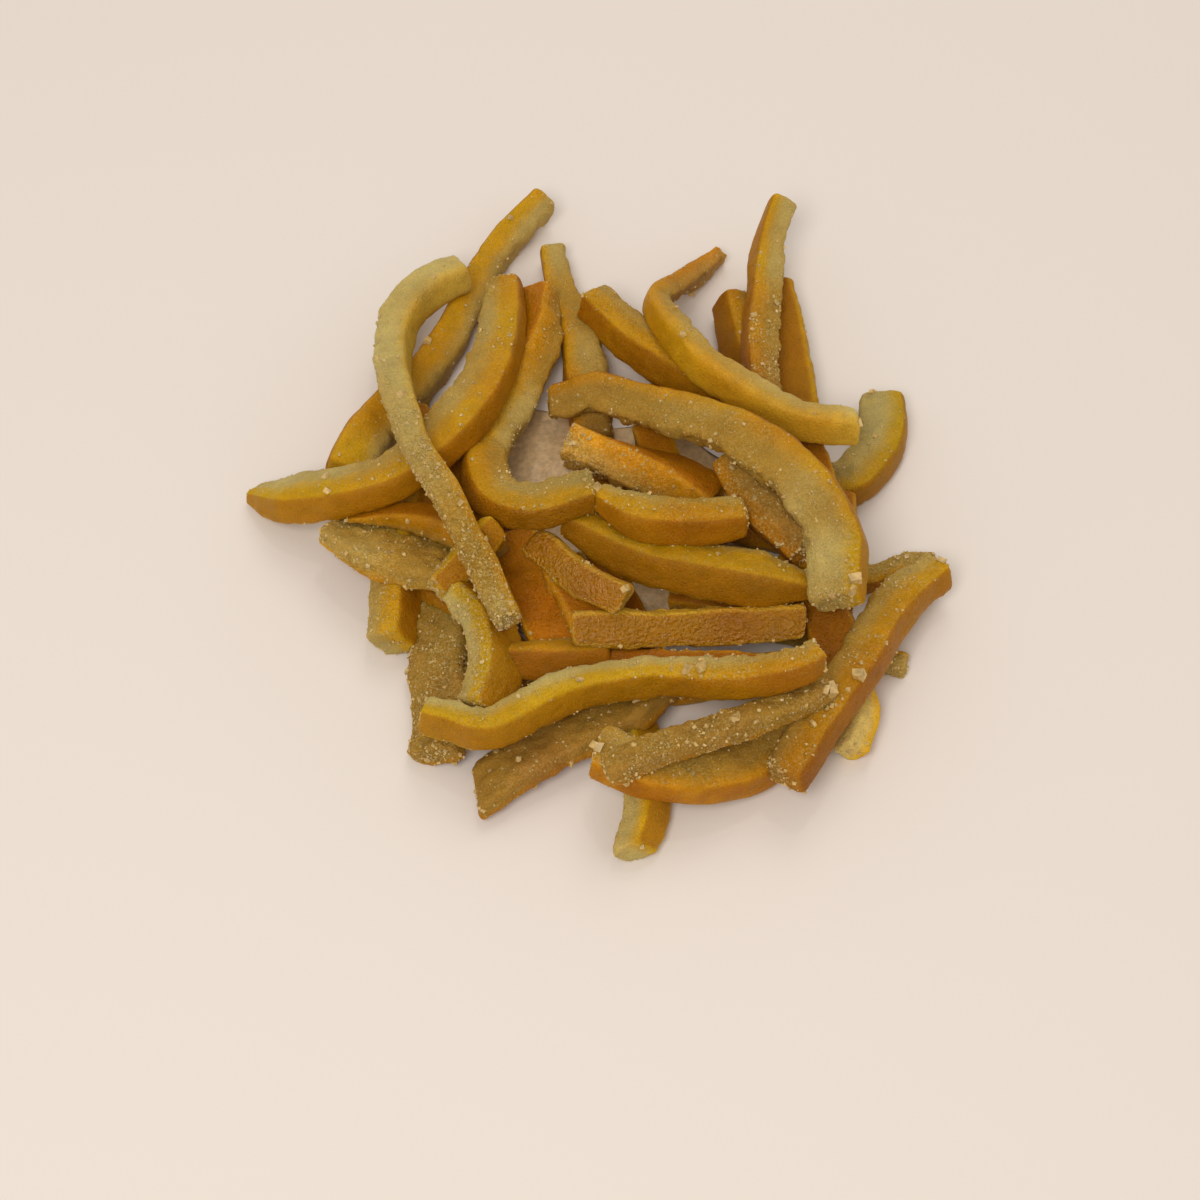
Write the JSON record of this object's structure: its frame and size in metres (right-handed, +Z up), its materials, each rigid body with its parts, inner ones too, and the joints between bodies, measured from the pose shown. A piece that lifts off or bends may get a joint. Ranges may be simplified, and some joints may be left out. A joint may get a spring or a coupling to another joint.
{
  "type": "heap of candied orange peel strips",
  "caption": "Loose heap of sugared, translucent amber orange peel strips, curved and crossing, lying flat on a table.",
  "frame": {"origin": "middle of the heap's bounding box, on the table it lies on", "axes": "+Z up from the table, +X to the right and +Y away from the side the heap is seen from"},
  "size_m": [0.111, 0.1248, 0.0243],
  "materials": {
    "candied_peel": "translucent candied fruit, satin, with a thin crust of sugar grains"
  },
  "bodies": {
    "root": {"peel_heap": "candied_peel"}
  },
  "joints": []
}
